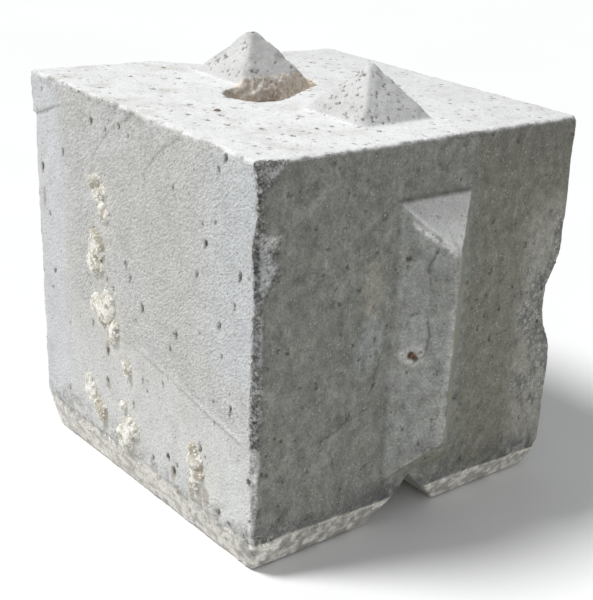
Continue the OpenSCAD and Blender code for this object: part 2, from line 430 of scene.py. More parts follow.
def surface_nets(field, low, h):
    """One vertex per cell that the surface crosses, and a quad round each grid
    edge that it crosses."""
    inside = field < 0
    count = np.zeros(tuple(n - 1 for n in field.shape), np.uint8)
    for dx, dy, dz in itertools.product((0, 1), repeat=3):
        count += inside[dx:field.shape[0] - 1 + dx, dy:field.shape[1] - 1 + dy,
                        dz:field.shape[2] - 1 + dz]
    active = (count > 0) & (count < 8)
    idx = np.argwhere(active).astype(np.int32)
    del count
    flat = field.ravel()
    sy, sz = field.shape[1], field.shape[2]

    def value(o):
        return flat[((idx[:, 0] + o[0]).astype(np.int64) * sy + idx[:, 1] + o[1]) * sz + idx[:, 2] + o[2]]

    total = np.zeros((len(idx), 3), np.float32)
    hits = np.zeros(len(idx), np.float32)
    for axis in range(3):
        a, b = OTHERS[axis]
        for u, v in itertools.product((0, 1), repeat=2):
            o = [0, 0, 0]
            o[a], o[b] = u, v
            e = list(o)
            e[axis] = 1
            fa, fb = value(o), value(e)
            m = (fa < 0) != (fb < 0)
            t = fa[m] / (fa[m] - fb[m])
            total[m] += o
            total[m, axis] += t
            hits[m] += 1
    verts = (idx + total / hits[:, None]) * h + np.asarray(low, np.float32)
    number = np.full(active.shape, -1, np.int32)
    number[active] = np.arange(len(idx), dtype=np.int32)
    quads = []
    for axis in range(3):
        a, b = OTHERS[axis]
        lo = [slice(1, -1)] * 3
        lo[axis] = slice(0, -1)
        hi = [slice(1, -1)] * 3
        hi[axis] = slice(1, None)
        s0, s1 = inside[tuple(lo)], inside[tuple(hi)]
        e = np.argwhere(s0 != s1).astype(np.int32)
        out = s0[tuple(e.T)]      # solid on the low side, so it faces up the axis
        ring = []
        for da, db in ((0, 0), (1, 0), (1, 1), (0, 1)):
            c = e.copy()
            c[:, a] += da
            c[:, b] += db
            ring.append(number[tuple(c.T)])
        q = np.stack(ring, 1)
        flip = out if axis != 1 else ~out
        q[~flip] = q[~flip][:, ::-1]
        quads.append(q)
    quads = np.concatenate(quads)
    return verts, quads[(quads >= 0).all(1)]


def biggest_piece(verts, quads):
    """Drops specks that float free of the main surface."""
    label = np.arange(len(verts))
    a = np.concatenate([quads[:, 0], quads[:, 1], quads[:, 2]])
    b = np.concatenate([quads[:, 1], quads[:, 2], quads[:, 3]])
    while True:
        low = np.minimum(label[a], label[b])
        new = label.copy()
        np.minimum.at(new, a, low)
        np.minimum.at(new, b, low)
        np.minimum.at(new, label[a], low)
        np.minimum.at(new, label[b], low)
        new = new[new]
        if (new == label).all():
            break
        label = new
    names, sizes = np.unique(label, return_counts=True)
    keep = label == names[sizes.argmax()]
    number = np.cumsum(keep) - 1
    return verts[keep], number[quads[keep[quads[:, 0]]]]


def new_object(name, data):
    ob = bpy.data.objects.new(name, data)
    bpy.context.scene.collection.objects.link(ob)
    return ob


def mesh_object(name, verts, quads):
    me = bpy.data.meshes.new(name)
    me.vertices.add(len(verts))
    me.vertices.foreach_set("co", (verts * MM).astype(np.float32).ravel())
    me.loops.add(quads.size)
    me.loops.foreach_set("vertex_index", quads.astype(np.int32).ravel())
    me.polygons.add(len(quads))
    me.polygons.foreach_set("loop_start", np.arange(0, quads.size, 4, dtype=np.int32))
    me.update(calc_edges=True)
    me.validate()
    me.shade_smooth()
    return new_object(name, me)


def attribute(ob, name, values):
    """Stores one number or one colour per vertex."""
    if values.ndim == 1:
        layer = ob.data.attributes.new(name, "FLOAT", "POINT")
        layer.data.foreach_set("value", values.astype(np.float32))
    else:
        layer = ob.data.attributes.new(name, "FLOAT_COLOR", "POINT")
        rgba = np.ones((len(values), 4), np.float32)
        rgba[:, :3] = values
        layer.data.foreach_set("color", rgba.ravel())


# ---------------------------------------------------------------- the casting
GRID = 3.0
LOW = np.array([-384.0, -390.0, -9.0])
SHAPE = (282, 258, 287)
BLOCK = 4


def block_field():
    """Fills the grid: exact values near the surface, only a sign elsewhere."""
    nb = [(n + BLOCK - 1) // BLOCK for n in SHAPE]
    centre = [LOW[a] + (np.arange(nb[a]) * BLOCK + (BLOCK - 1) / 2) * GRID for a in range(3)]
    c = np.stack(np.meshgrid(*centre, indexing="ij"), -1).reshape(-1, 3).astype(np.float32)
    d = np.concatenate([casting(part)[0] for part in np.array_split(c, 8)])
    close = np.abs(d) < BLOCK * GRID * 0.9 + 9
    field = np.where(d < 0, -20, 20).astype(np.float32).reshape(nb)
    for axis in range(3):
        field = np.repeat(field, BLOCK, axis)
    where = np.argwhere(close.reshape(nb)).astype(np.int32) * BLOCK
    local = np.stack(np.meshgrid(*[np.arange(BLOCK)] * 3, indexing="ij"), -1).reshape(-1, 3)
    for part in np.array_split(where, max(1, len(where) // 6000)):
        ijk = (part[:, None, :] + local[None]).reshape(-1, 3)
        p = (LOW + ijk * GRID).astype(np.float32)
        f = casting(p)[0]
        m = np.abs(f) < 8
        f[m] += relief(p[m])
        field[tuple(ijk.T)] = f
    return np.ascontiguousarray(field[:SHAPE[0], :SHAPE[1], :SHAPE[2]])


def hit(field, axis, sign, a, b):
    """Where a line along an axis first meets the surface from outside. a and b
    are the other two coordinates, in order."""
    key = [slice(None)] * 3
    for other, value in zip(OTHERS[axis], (a, b)):
        key[other] = int(round((value - LOW[other]) / GRID))
    solid = np.nonzero(field[tuple(key)] < 0)[0]
    if len(solid) == 0:
        return None
    return LOW[axis] + solid[-1 if sign > 0 else 0] * GRID


def carve(field, pit_shade, centre, radii, tone, turn):
    """Takes an ellipsoid out of the field and paints shade on its wall."""
    r = max(radii) + 6
    lo = np.maximum(((np.array(centre) - r - LOW) / GRID).astype(int), 0)
    hi = np.minimum(((np.array(centre) + r - LOW) / GRID).astype(int) + 2, SHAPE)
    if (hi <= lo).any():
        return
    sl = tuple(slice(a, b) for a, b in zip(lo, hi))
    ax = [LOW[k] + np.arange(lo[k], hi[k]) * GRID - centre[k] for k in range(3)]
    g = np.stack(np.meshgrid(*ax, indexing="ij"), -1) @ turn
    k = np.sqrt(((g / radii) ** 2).sum(-1))
    field[sl] = np.maximum(field[sl], (1 - k) * min(radii))
    shade = np.clip(1.35 - k, 0, 0.35) / 0.35 * tone * 255
    pit_shade[sl] = np.maximum(pit_shade[sl], shade.astype(np.uint8))


# Bug holes seen on each face: the two in-plane coordinates, the two radii.
HOLES_LEFT = [(-148, 712, 5, 8), (-260, 627, 4, 9), (-346, 578, 5, 12), (-322, 484, 4, 7),
              (-370, 400, 5, 12), (-312, 366, 4, 7), (-148, 500, 3, 7), (230, 580, 5, 9),
              (266, 716, 5, 11), (284, 740, 5, 9), (330, 550, 5, 12), (204, 516, 4, 8),
              (-16, 440, 4, 8), (-30, 466, 4, 9), (-102, 412, 3.5, 6), (26, 394, 5, 11),
              (316, 494, 4, 7), (274, 444, 5, 9), (-160, 302, 4, 8), (-255, 270, 3, 6),
              (-104, 262, 6, 10), (-108, 198, 7, 8), (24, 248, 3.5, 7), (94, 266, 3.5, 6),
              (-266, 120, 3.5, 6), (140, 380, 4, 9), (120, 346, 4, 8), (-10, 184, 3.5, 8),
              (310, 302, 4, 8), (58, 98, 4, 7), (112, 124, 5, 9), (132, 102, 6, 10),
              (142, 118, 4, 7), (220, 186, 5, 9), (278, 84, 6, 9), (366, 186, 5, 9),
              (370, 110, 4, 4), (308, 75, 5, 5)]
HOLES_RIGHT = [(-245, 340, 4, 7), (-168, 262, 5, 9), (-118, 566, 4, 8), (-105, 622, 5, 7),
               (-150, 640, 4, 5), (-198, 484, 4, 5), (-157, 500, 6, 5), (-110, 310, 6, 5),
               (-60, 545, 5, 6), (262, 505, 4, 8), (228, 558, 4, 4), (170, 470, 5, 5),
               (120, 430, 4, 5), (150, 360, 4, 4), (205, 390, 4, 4), (185, 330, 4, 4),
               (300, 640, 4, 4), (-310, 420, 4, 5), (-290, 250, 4, 4), (-330, 560, 4, 4),
               (-230, 590, 4, 4), (-260, 180, 4, 6), (-180, 160, 4, 4), (-320, 130, 4, 4)]
HOLES_TOP = [(-2, -256, 9, 6), (52, -196, 8, 5), (-140, -250, 9, 5), (90, -250, 8, 5),
             (110, -290, 7, 5), (150, -280, 8, 5), (60, -300, 6, 5), (200, -240, 7, 5),
             (260, -220, 7, 6), (240, -150, 8, 5), (300, -60, 6, 5), (150, -120, 7, 5),
             (-250, -230, 9, 5), (-300, -120, 8, 5), (-200, -150, 8, 6), (310, 150, 7, 5),
             (250, 220, 8, 5), (100, 180, 8, 6), (-60, 260, 8, 6), (-240, 220, 8, 6)]


def punch_holes(field):
    pit_shade = np.zeros(SHAPE, np.uint8)
    rng = np.random.default_rng(5)
    lists = {(1, -1): list(HOLES_LEFT), (0, 1): list(HOLES_RIGHT), (2, 1): list(HOLES_TOP),
             (1, 1): [], (0, -1): []}
    # small holes scattered over every face
    counts = ((1, -1), 34, 1.7), ((0, 1), 115, 1.4), ((2, 1), 430, 1.0), ((1, 1), 80, 1.7), \
        ((0, -1), 70, 1.6)
    for key, n, long in counts:
        for _ in range(n):
            a = rng.uniform(-362, 362)
            b = rng.uniform(70, 740) if key[0] != 2 else rng.uniform(-362, 362)
            r = 1.8 + 2.0 * rng.random() ** 3
            lists[key].append((a, b, r, r * (1 + (long - 1) * rng.random())))
    # pits on the studs' flanks
    for cx, n in zip(STUD_AT, (34, 20)):
        for _ in range(n):
            up = rng.uniform(4, 80)
            run = (STUD_BASE / 2) * (1 - up / 100) * 0.9
            lists[(1, -1)].append((cx + rng.uniform(-run, run), HEIGHT + up, 2.2, 2.8))
            if rng.random() < 0.4:
                lists[(0, 1)].append((STUD_Y + rng.uniform(-run, run), HEIGHT + up, 2.0, 2.4))
    for (axis, sign), holes in lists.items():
        for a, b, ra, rb in holes:
            at = hit(field, axis, sign, a, b)
            if at is None or at > HEIGHT + STUD_H - 20:
                continue
            i, j = OTHERS[axis]
            centre, radii = np.zeros(3), np.zeros(3)
            centre[i], centre[j], centre[axis] = a, b, at + sign * rng.uniform(0.5, 1.8)
            radii[i], radii[j] = max(ra * 0.78, 1.8), rb * 0.85
            radii[axis] = max(3.6, min(ra, rb) * 1.1)
            t = rng.uniform(-0.25, 0.25)
            turn = np.eye(3)
            turn[i, i] = turn[j, j] = math.cos(t)
            turn[i, j], turn[j, i] = -math.sin(t), math.sin(t)
            carve(field, pit_shade, centre, radii, 0.6 + 0.4 * rng.random(), turn)
    return pit_shade


def mix(a, b, t):
    """Mixes colours, given per vertex or as one linear red, green and blue."""
    t = t[:, None]
    return np.asarray(a, np.float32) * (1 - t) + np.asarray(b, np.float32) * t


def layered(col, *layers):
    """Mixes in one colour after another, each with its own mask."""
    for colour, mask in layers:
        col = mix(col, colour, mask)
    return col


def line_mark(a, b, points, width):
    """How close (a, b) lies to an open line through these points, 1 to 0."""
    near = np.full(len(a), 1e6, np.float32)
    for (a0, b0), (a1, b1) in zip(points[:-1], points[1:]):
        da, db = a1 - a0, b1 - b0
        t = np.clip(((a - a0) * da + (b - b0) * db) / (da * da + db * db), 0, 1)
        near = np.minimum(near, np.hypot(a - a0 - t * da, b - b0 - t * db))
    return bell(near, width)


def patch(a, b, ca, cb, ra, rb, wobble):
    """A soft-edged oval patch, 1 inside, with a wobbly outline."""
    k = np.hypot((a - ca) / ra, (b - cb) / rb) + wobble
    return step(1.15, 0.85, k)


def tongue_slopes(x, y, z, small):
    """Masks of the tongue's sloping upper and lower ends, and of the lower
    one's border."""
    out = step(HALF + 1, HALF + 8, x)
    flank, head, heel = tongue_planes(x, np.abs(y - 11), z)
    upper = step(-3.5, 0.5, head - flank + 2.5 * small) * out * (z > 520)
    lower = step(-3.5, 0.5, heel - flank + 2.5 * small) * out * (z < 230)
    border = bell(heel - flank + 2, 2.5) * out * (z < 230)
    return upper, lower, border


# Cracks on the tongue end, as (y, z) along each.
CRACKS = [[(-227, 230), (-205, 236), (-193, 240), (-180, 251), (-159, 251), (-132, 262), (-101, 265)],
          [(-84, 392), (-92, 371), (-104, 335), (-108, 315), (-118, 294)],
          [(-20, 566), (-25, 545), (-30, 530), (-27, 509), (-24, 480)],
          [(-57, 412), (-52, 436), (-40, 444), (-27, 434), (-22, 400), (-30, 360), (-54, 338), (-66, 352)]]


# Rusty spots on the -Y side: x, z and the two radii.
RUSTY_SPOTS = [(-109, 263, 7, 16), (-110, 184, 9, 11), (120, 94, 6, 14), (180, 96, 7, 30),
               (205, 78, 9, 26), (226, 96, 8, 18), (-345, 505, 5, 20), (186, 140, 6, 20),
               (214, 150, 6, 16)]

# Shallow trowel grooves high on the -Y side, painted dark along them as shade, as (x, z) along each.
TROWEL_LINES = [[(-160, 600), (-141, 639), (-111, 669), (-80, 695), (-49, 716), (20, 752)],
                [(30, 640), (53, 666), (75, 690), (102, 710), (164, 745)]]


def paint_near_side(p, x, z, bevel, big, mid, small):
    """The -Y side: bluish foot, warmer trowelled skin above, cream smears."""
    lap = z - lap_height(x) + 2 * small
    along = step(-10, 60, x) * step(345, 320, x) * step(-0.7, 0.0, mid + small)
    under = step(HEIGHT - 30, HEIGHT - 12, z) * step(HEIGHT - 2, HEIGHT - 6, z)
    lip = above_ledge(x, z) + small
    ledge = step(-258, -268, x) * (z > 600)
    col = layered(
        (0.585, 0.582, 0.568),
        ((0.545, 0.535, 0.50), step(-0.2, 0.6, big + 0.3 * mid) * 0.6),
        ((0.635, 0.645, 0.635), step(330, 140, z + 60 * mid) * 0.7),
        ((0.61, 0.62, 0.64), step(-255, -285, x + 10 * small) * 0.75),
        # the long trowel lap: a painted highlight along its top and painted shadow just below it
        ((0.72, 0.72, 0.70), bell(lap - 5, 4.5) * along * 0.9),
        ((0.38, 0.38, 0.36), bell(lap + 3, 3) * along * 0.75),
        ((0.585, 0.61, 0.625), step(150, 340, x + 40 * mid) * step(320, 380, z) * 0.6),
        ((0.40, 0.395, 0.375), under * step(0.0, 0.4, small + 0.4 * mid) * 0.7),
        # the lip of the old mould joint: a painted highlight on it and painted shadow just below
        ((0.74, 0.74, 0.73), bell(lip - 2, 3) * ledge * 0.8),
        ((0.40, 0.40, 0.39), bell(lip + 4, 2.5) * ledge * 0.6))
    # painted shade along the trowel grooves
    for points in TROWEL_LINES:
        line = line_mark(x + 3 * small, z + 3 * mid, points, 3.0) * step(-0.7, 0.0, small + mid)
        col = mix(col, (0.36, 0.355, 0.335), line * 0.75)
    streak = noise(p * vec(1, 1, 0.12), 13, 84)
    col = mix(col, (0.45, 0.43, 0.40), step(0.35, 0.8, streak) * step(420, 80, z) * 0.35)
    # thin mortar smeared round the splashes, and rusty spots
    smear = np.zeros(len(p), np.float32)
    for bx, bz, r, _ in itertools.chain(*SPLASHES):
        k = np.hypot(x - bx, (z - bz + 8) * 0.75) / (r + 17) + 0.35 * mid + 0.25 * small
        smear = np.maximum(smear, step(1.1, 0.7, k))
    smear = np.maximum(smear, patch(x, z, 232, 120, 45, 90, 0.4 * mid + 0.3 * small) * 0.8)
    smear = np.maximum(smear, patch(x, z, -345, 565, 22, 45, 0.4 * small) * 0.5)
    col = mix(col, (0.66, 0.645, 0.59), smear * step(-0.5, 0.3, small) * 0.65)
    for spot in RUSTY_SPOTS:
        rust = patch(x, z, *spot, 0.45 * small + 0.3 * mid)
        col = mix(col, (0.33, 0.27, 0.21), rust * 0.6)
    grime = step(0, 26, z - bevel) * step(70, 26, z - bevel + 22 * mid)
    grime = grime * step(-0.2, 0.5, small + mid) * step(250, -250, x)
    return mix(col, (0.40, 0.38, 0.35), grime * 0.6)


def paint_tongue_end(p, x, y, z, big, mid, small):
    """The +X end: dark olive, partly stained and partly painted shade as it faces away from the light;
    mottled, with smears, patches and cracks.
    """
    run = fbm(p * vec(1, 1, 0.75), 26, 4, 88, 0.7)
    slant = np.stack([p[:, 1] * 0.8 - p[:, 2] * 0.6, p[:, 1] * 0.12 + p[:, 2] * 0.16, p[:, 0]], 1)
    streak = noise(slant, 9, 85) + 0.3 * small
    light = line_mark(y, z, [(-300, 650), (-262, 668), (-230, 692)], 12)
    wobble = 0.5 * small + 0.5 * mid
    col = layered(
        (0.225, 0.230, 0.205),
        ((0.285, 0.29, 0.27), step(0.0, 0.7, big + 0.5 * mid) * 0.5),
        ((0.14, 0.14, 0.12), step(0.05, 0.6, small + 0.4 * mid - 0.1) * 0.5),
        ((0.15, 0.152, 0.132), step(0.05, 0.45, run) * 0.5),
        ((0.31, 0.315, 0.295), step(0.1, 0.5, -run) * 0.45),
        # beyond the tongue's foot: darker olive, partly stain and partly painted shadow of the tongue
        ((0.195, 0.192, 0.160), step(105, 130, y + 8 * mid)),
        ((0.170, 0.168, 0.145), step(640, 700, z + 30 * mid) * step(110, 150, y) * 0.6),
        ((0.325, 0.32, 0.285), step(235, 300, y + 25 * mid) * step(640, 520, z + 40 * mid) * 0.8),
        # pale smears, beige and bluish patches
        ((0.30, 0.305, 0.29), step(0.45, 0.9, streak) * 0.35),
        ((0.33, 0.335, 0.32), light * step(-0.4, 0.3, small + mid) * 0.6),
        ((0.325, 0.312, 0.265), patch(y, z, -122, 490, 23, 48, wobble) * 0.85),
        ((0.30, 0.318, 0.305), patch(y, z, -122, 388, 24, 50, wobble) * 0.8),
        ((0.27, 0.28, 0.275), line_mark(y, z, [(-150, 392), (-150, 330), (-158, 250)], 9) * 0.5))
    for y0, z0, z1 in ((-87, 662, 748), (98, 655, 748), (108, 560, 640)):
        line = line_mark(y + 2 * small, z, [(y0, z0), (y0 - 4, z1)], 3.0)
        col = mix(col, (0.31, 0.315, 0.30), line * step(-0.3, 0.4, small + mid) * 0.55)
    # tongue: near flank painted lighter and upper slope painted bright as light falling on them, far flank
    # painted dark olive as shade
    out = step(HALF + 1, HALF + 8, x)
    ridge_y = 9 + 4 * step(250, 560, z)
    upper, lower, border = tongue_slopes(x, y, z, small)
    rim = line_mark(y + 4 * small, z + 6 * mid, [(-72, 615), (-50, 602), (-21, 581), (6, 556)], 6)
    ridge = bell(y - ridge_y + 4, 5) * step(HALF + 55, HALF + 66, x) * step(-0.4, 0.3, small)
    # flaked patch round the nail hole, and the pale lime round it
    flake = patch(y, z, -42, 392, 21, 50, 0.3 * small + 0.4 * mid)
    hole = np.hypot(y + 46, (z - 362) * 0.8)
    rusty = np.hypot(y + 42, z - 356) + 3 * small
    col = layered(
        col * np.float32(0.87),
        ((0.295, 0.302, 0.285), out * (y < ridge_y) * (0.85 + 0.3 * mid)),
        ((0.21, 0.21, 0.172), out * (y > ridge_y)),
        ((0.69, 0.695, 0.68), upper * (0.92 + 0.1 * mid)),
        # the lower end painted dark as shade, with a painted highlight along its border
        ((0.165, 0.167, 0.13), lower * 0.8),
        ((0.37, 0.375, 0.355), border * step(-0.5, 0.2, small) * (y < ridge_y) * 0.7),
        ((0.62, 0.62, 0.60), rim * out * step(-0.3, 0.2, small)),
        ((0.40, 0.405, 0.385), ridge * 0.8),
        ((0.36, 0.37, 0.36), flake * out * 0.6),
        ((0.55, 0.54, 0.51), bell(hole - 13, 5) * out * 0.5),
        ((0.085, 0.055, 0.04), step(7, 3.5, hole + 4 * small) * out),
        ((0.11, 0.065, 0.04), step(6, 3, rusty) * out))
    for points in CRACKS:
        mark = line_mark(y + 3 * small, z + 6 * mid, points, 1.9) * step(-0.7, 0.2, small + mid)
        col = mix(col, (0.085, 0.085, 0.075), mark * 0.7)
    return col


def paint(p, normal, pit_shade, rough):
    """The casting's large-scale colour at each vertex, linear."""
    q, bevel = true_place(p)
    x, y, z = q[:, 0], q[:, 1], q[:, 2]
    big, mid, small = fbm(p, 180, 3, 81), fbm(p, 45, 3, 82), fbm(p, 12, 2, 83)
    col = paint_near_side(p, x, z, bevel, big, mid, small)
    right = step(HALF - 7, HALF - 2.5, x)
    end = right > 0
    col_r = paint_tongue_end(p[end], x[end], y[end], z[end], big[end], mid[end], small[end])
    col[end] = mix(col[end], col_r, right[end])
    # hidden sides, and the flanks of both grooves
    back = step(-HALF + 7, -HALF + 2.5, x) + step(HALF - 7, HALF - 2.5, y)
    back = back + step(106, 100, np.abs(y)) * step(-HALF + 96, -HALF + 90, x)
    back = back + step(98, 92, np.abs(y)) * step(104, 98, z)
    streak = noise(p * vec(1, 1, 0.1), 22, 86)
    hidden = layered((0.46, 0.46, 0.435),
                     ((0.36, 0.36, 0.33), step(0, 0.7, big + 0.5 * mid)),
                     ((0.56, 0.56, 0.54), step(0.2, 0.8, streak) * 0.6))
    col = mix(col, hidden, np.clip(back, 0, 1) * (1 - right))
    # top, and the studs a shade darker
    studs = mix((0.64, 0.645, 0.635), (0.52, 0.52, 0.50), step(-0.1, 0.6, mid))
    top = layered((0.82, 0.82, 0.82),
                  ((0.72, 0.715, 0.69), step(0, 0.7, mid + 0.3 * small)),
                  ((0.66, 0.665, 0.66), step(-50, 350, y) * 0.5),
                  (studs, step(HEIGHT - 0.8, HEIGHT + 2.5, z)))
    col = mix(col, top, step(HEIGHT - 9, HEIGHT - 2, z - 1.5 * small))
    # dark damp band above the foot, and the cream foot itself
    foot = step(3, -4, z - bevel + 4 * mid)
    damp = step(70, 0, z - bevel + 20 * mid) * step(-0.35, 0.5, mid + small + 0.2) * right
    strong = 0.55 + 0.45 * step(60, 330, y) + 0.35 * step(-190, -60, y) * step(60, -40, y)
    col = mix(col, (0.075, 0.078, 0.085), np.clip(damp * strong, 0, 1) * (1 - foot))
    layer = noise(p * vec(0.4, 0.4, 2.2), 16, 87)
    speck = fbm(p, 7, 2, 89)
    corner = step(285, 350, x + 20 * mid) * (1 - right) * step(-0.4, 0.3, small + 0.3 * mid)
    streaks = fbm(p * vec(1, 0.22, 2.2), 16, 3, 91)
    stained = step(-0.05, 0.4, streaks + 0.3 * mid + 0.15 * small)
    cream = layered(
        (0.70, 0.68, 0.635),
        ((0.44, 0.43, 0.395), step(0.0, 0.6, small + 0.5 * mid)),
        ((0.40, 0.38, 0.345), step(0.1, 0.6, layer) * 0.55),
        ((0.34, 0.32, 0.29), step(0.15, 0.5, speck) * (1 - right) * 0.6),
        ((0.30, 0.295, 0.265), corner * 0.8),
        # on the tongue end paler and yellower: partly its own cream, partly painted light from the pale
        # floor
        ((0.90, 0.89, 0.68), right * 0.9),
        ((0.27, 0.265, 0.185), right * stained * (0.5 + 0.4 * step(0, -250, y))),
        ((0.22, 0.215, 0.165), right * step(-180, -360, y) * 0.6))
    # a painted shadow line along the crumbled lip where the bevel starts, in patches, strongest towards
    # the -X end
    bevel_lip_shadow = bell(z - bevel - 2 + 4 * mid, 4) * (1 - right) * step(-0.3, 0.3, small + 0.3 * mid)
    bevel_lip_shadow = bevel_lip_shadow * (0.35 + 0.5 * step(100, -300, x)) * (z < 110)
    col = layered(col, (cream, foot * (z > -5)), ((0.30, 0.28, 0.25), bevel_lip_shadow))
    # broken concrete: pale where it faces the key light and painted dark as shade where it faces away,
    # that painted shade lighter at the far edge and high on the near arris; a paler stone in it near z =
    # 610
    away_from_key = step(-0.2, 0.25, normal[:, 0] + normal[:, 1])
    near = y < 0
    shade_level = 0.165 + 0.13 * step(628, 655, z) * near + 0.05 * step(540, 480, z) * near + 0.095 * (y > 0)
    stone = away_from_key * step(598, 606, z) * step(628, 618, z) * near * step(-0.2, 0.2, small)
    bare = layered((0.50, 0.495, 0.47),
                   (shade_level[:, None] * vec(1.0, 0.995, 0.93), away_from_key),
                   ((0.34, 0.325, 0.27), stone))
    bare_mask = np.clip(rough * 1.4, 0, 1) * 0.85 * (z > bevel) * (z < HEIGHT - 3)
    # earth-brown wall of the pocket, painted brighter than its own brown to stand in for light falling
    # into it
    in_pocket = step(9, 3, pocket_distance(p)) * (p[:, 2] < 800)
    in_pocket = in_pocket * step(745, 738, p[:, 2] - 30 * (p[:, 0] < -78))
    brown = layered((0.84, 0.755, 0.66),
                    ((0.90, 0.87, 0.82), step(-0.2, 0.5, small)),
                    ((0.50, 0.40, 0.31), step(0.1, 0.6, mid + 0.3 * small)))
    col = layered(col, (bare, bare_mask), (brown, in_pocket))
    # bug holes get painted shade inside
    return np.clip(mix(col, col * vec(0.36, 0.34, 0.31), pit_shade), 0.01, 0.9)


def build_block():
    field = block_field()
    pit_shade = punch_holes(field)
    verts, quads = biggest_piece(*surface_nets(field, LOW, GRID))
    lo, hi = np.array(cad_box[0]) / MM + 0.05, np.array(cad_box[1]) / MM - 0.05
    verts = np.clip(verts, lo, hi).astype(np.float32)
    ob = mesh_object("block_casting", verts, quads)
    normal = np.zeros(len(verts) * 3, np.float32)
    ob.data.vertex_normals.foreach_get("vector", normal)
    normal = normal.reshape(-1, 3)
    _, edge, rough = casting(verts)
    i = np.clip(np.round((verts - LOW) / GRID).astype(int), 0, np.array(SHAPE) - 1)
    hole = pit_shade[tuple(i.T)] / 255.0
    wear = np.clip((edge + 13) / 9, 0, 1) * step(-0.25, 0.35, fbm(verts, 18, 2, 90))
    by_camera = (verts[:, 0] > 355) & (verts[:, 1] < -330) & (verts[:, 2] > 60)
    rough = np.maximum(rough, wear * np.where(by_camera, 1.0, 0.55))
    q, bevel = true_place(verts)
    x, y, z = q[:, 0], q[:, 1], q[:, 2]
    rough = np.maximum(rough, 0.13 * step(4, -4, z - bevel) * (1 - 0.7 * dark_foot(x)))
    attribute(ob, "tone", paint(verts, normal, hole, rough))
    attribute(ob, "broken", np.clip(rough, 0, 1))
    ripple = step(-HALF + 8, -HALF + 3, y) * step(HEIGHT - 4, HEIGHT - 10, z)
    ripple *= 0.45 + 0.55 * step(-8, 12, z - lap_height(x)) * step(-290, -200, x)
    ripple *= step(-4, 8, z - bevel)
    attribute(ob, "ripple", ripple)
    dark = step(HALF - 7, HALF - 2, verts[:, 0]) * step(748, 738, verts[:, 2])
    upper = tongue_slopes(x, y, z, 0)[0]
    attribute(ob, "dark_face", dark * (1 - 0.75 * upper))
    return ob


# ---------------------------------------------------------------- materials
class Nodes:
    """Small helper that adds linked shader nodes."""

    def __init__(self, name):
        self.mat = bpy.data.materials.new(name)
        self.mat.use_nodes = True
        self.tree = self.mat.node_tree
        self.tree.nodes.clear()
        self.out = self.add("ShaderNodeOutputMaterial")
        self.bsdf = self.add("ShaderNodeBsdfPrincipled")
        self.tree.links.new(self.bsdf.outputs[0], self.out.inputs["Surface"])
        self.place = self.add("ShaderNodeTexCoord").outputs["Object"]

    def add(self, kind, **values):
        n = self.tree.nodes.new(kind)
        for k, v in values.items():
            setattr(n, k, v)
        return n

    def link(self, value, socket):
        if hasattr(value, "is_linked"):
            self.tree.links.new(value, socket)
        else:
            socket.default_value = value

    def noise(self, scale, detail=3, rough=0.55, place=None):
        n = self.add("ShaderNodeTexNoise")
        n.inputs["Scale"].default_value = scale
        n.inputs["Detail"].default_value = detail
        n.inputs["Roughness"].default_value = rough
        self.tree.links.new(place or self.place, n.inputs["Vector"])
        return n.outputs["Fac"]

    def voronoi(self, scale, output="Distance", place=None):
        n = self.add("ShaderNodeTexVoronoi")
        n.inputs["Scale"].default_value = scale
        self.tree.links.new(place or self.place, n.inputs["Vector"])
        return n.outputs[output]

    def ramp(self, value, *stops):
        n = self.add("ShaderNodeValToRGB")
        el = n.color_ramp.elements
        while len(el) < len(stops):
            el.new(0.5)
        for e, (pos, c) in zip(el, stops):
            e.position = pos
            e.color = (*c, 1) if hasattr(c, "__len__") else (c, c, c, 1)
        self.link(value, n.inputs["Fac"])
        return n.outputs["Color"]

    def times(self, a, b):
        n = self.add("ShaderNodeMath", operation="MULTIPLY")
        self.link(a, n.inputs[0])
        self.link(b, n.inputs[1])
        return n.outputs[0]

    def mix(self, fac, a, b, blend="MIX"):
        n = self.add("ShaderNodeMix", data_type="RGBA", blend_type=blend)
        self.link(fac, n.inputs["Factor"])
        self.link(a, n.inputs["A"])
        self.link(b, n.inputs["B"])
        return n.outputs["Result"]

    def shade(self, fac, col, tones):
        """Multiplies col by tones where fac says so."""
        return self.mix(fac, col, self.mix(1.0, col, tones, "MULTIPLY"))

    def attr(self, name, output="Fac"):
        n = self.add("ShaderNodeAttribute", attribute_name=name)
        return n.outputs[output]

    def bump(self, height, distance, strength=1.0, normal=None):
        n = self.add("ShaderNodeBump")
        n.inputs["Distance"].default_value = distance
        n.inputs["Strength"].default_value = strength
        self.link(height, n.inputs["Height"])
        if normal is not None:
            self.tree.links.new(normal, n.inputs["Normal"])
        return n.outputs["Normal"]

    def mapping(self, socket, value, place=None):
        n = self.add("ShaderNodeMapping")
        n.inputs[socket].default_value = value
        self.tree.links.new(place or self.place, n.inputs["Vector"])
        return n.outputs["Vector"]

    def finish(self, col, roughness, normal):
        self.link(col, self.bsdf.inputs["Base Color"])
        self.link(roughness, self.bsdf.inputs["Roughness"])
        self.bsdf.inputs["Specular IOR Level"].default_value = 0.3
        self.link(normal, self.bsdf.inputs["Normal"])
        return self.mat


